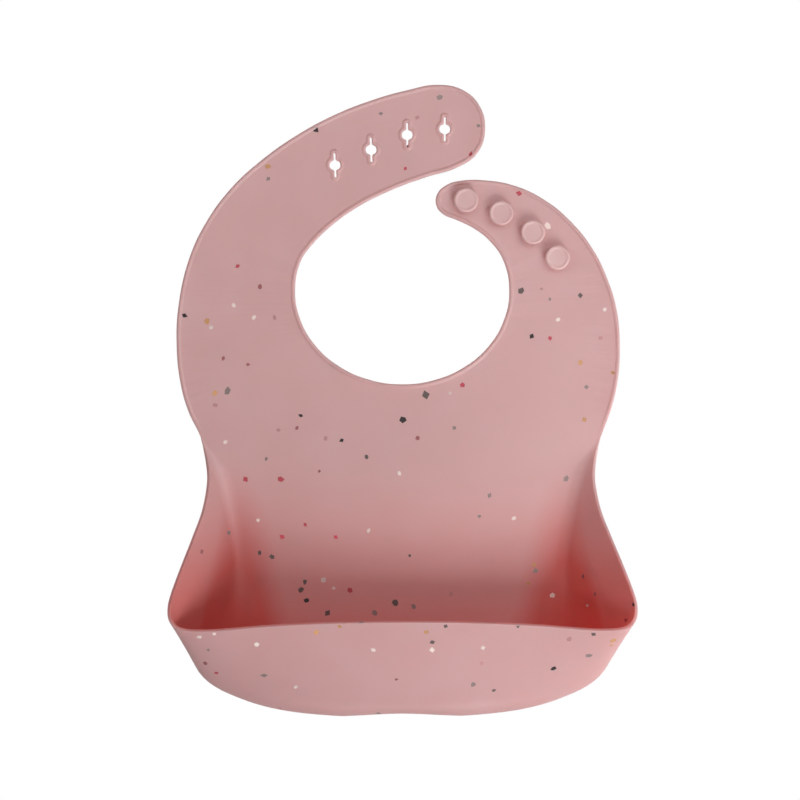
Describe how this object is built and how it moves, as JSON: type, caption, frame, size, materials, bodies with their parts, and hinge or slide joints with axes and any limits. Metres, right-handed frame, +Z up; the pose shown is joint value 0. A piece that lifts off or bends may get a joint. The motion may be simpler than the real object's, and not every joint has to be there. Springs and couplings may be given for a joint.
{
  "type": "silicone bib",
  "caption": "Soft moulded baby bib with a round neck opening, a buttonhole strap that fastens on mushroom buttons, and a scoop-shaped pocket that catches food.",
  "frame": {"origin": "centre of the neck opening, on the back face of the panel", "axes": "+Z up as the bib is worn, +Y to the back, towards the wearer, +X to the right in a front view"},
  "size_m": [0.222, 0.0451, 0.3075],
  "materials": {
    "silicone": "soft matte food-grade silicone, dusty pink, with embedded flakes",
    "button_silicone": "soft matte food-grade silicone, dusty pink"
  },
  "bodies": {
    "panel": {"chest_panel": "silicone", "pocket_back": "silicone", "pocket_base": "silicone", "left_pocket_side": "silicone", "right_pocket_side": "silicone"},
    "left_arm": {"left_strap_arm": "silicone"},
    "left_end": {"buttonhole_strap_end": "silicone"},
    "right_arm": {"right_strap_arm": "silicone", "button_3": "button_silicone", "button_4": "button_silicone"},
    "right_end": {"button_strap_end": "silicone", "button_1": "button_silicone", "button_2": "button_silicone"},
    "front": {"pocket_front": "silicone"}
  },
  "joints": [
    {"name": "left_strap_bend", "type": "hinge", "parent": "panel", "child": "left_arm", "pos_m": [-0.08, -0.0009, -0.018], "axis": [-1, 0, 0], "range_deg": [-20, 45], "stiffness_Nm_per_rad": 0.09},
    {"name": "left_strap_curl", "type": "hinge", "parent": "left_arm", "child": "left_end", "pos_m": [-0.059, -0.0009, 0.038], "axis": [-0.7193, 0, 0.6947], "range_deg": [-20, 45], "stiffness_Nm_per_rad": 0.05},
    {"name": "right_strap_bend", "type": "hinge", "parent": "panel", "child": "right_arm", "pos_m": [0.08, -0.0009, -0.018], "axis": [-1, 0, 0], "range_deg": [-20, 45], "stiffness_Nm_per_rad": 0.06},
    {"name": "right_strap_curl", "type": "hinge", "parent": "right_arm", "child": "right_end", "pos_m": [0.0566, -0.0009, 0.0303], "axis": [-0.515, 0, -0.8572], "range_deg": [-20, 45], "stiffness_Nm_per_rad": 0.03},
    {"name": "pocket_flex", "type": "hinge", "parent": "panel", "child": "front", "pos_m": [0, -0.0109, -0.198], "axis": [1, 0, 0], "range_deg": [-25, 15], "stiffness_Nm_per_rad": 0.26}
  ],
  "couplings": [
    {"joint": "left_strap_curl", "follows": "left_strap_bend", "ratio": 1},
    {"joint": "right_strap_curl", "follows": "right_strap_bend", "ratio": 1}
  ]
}
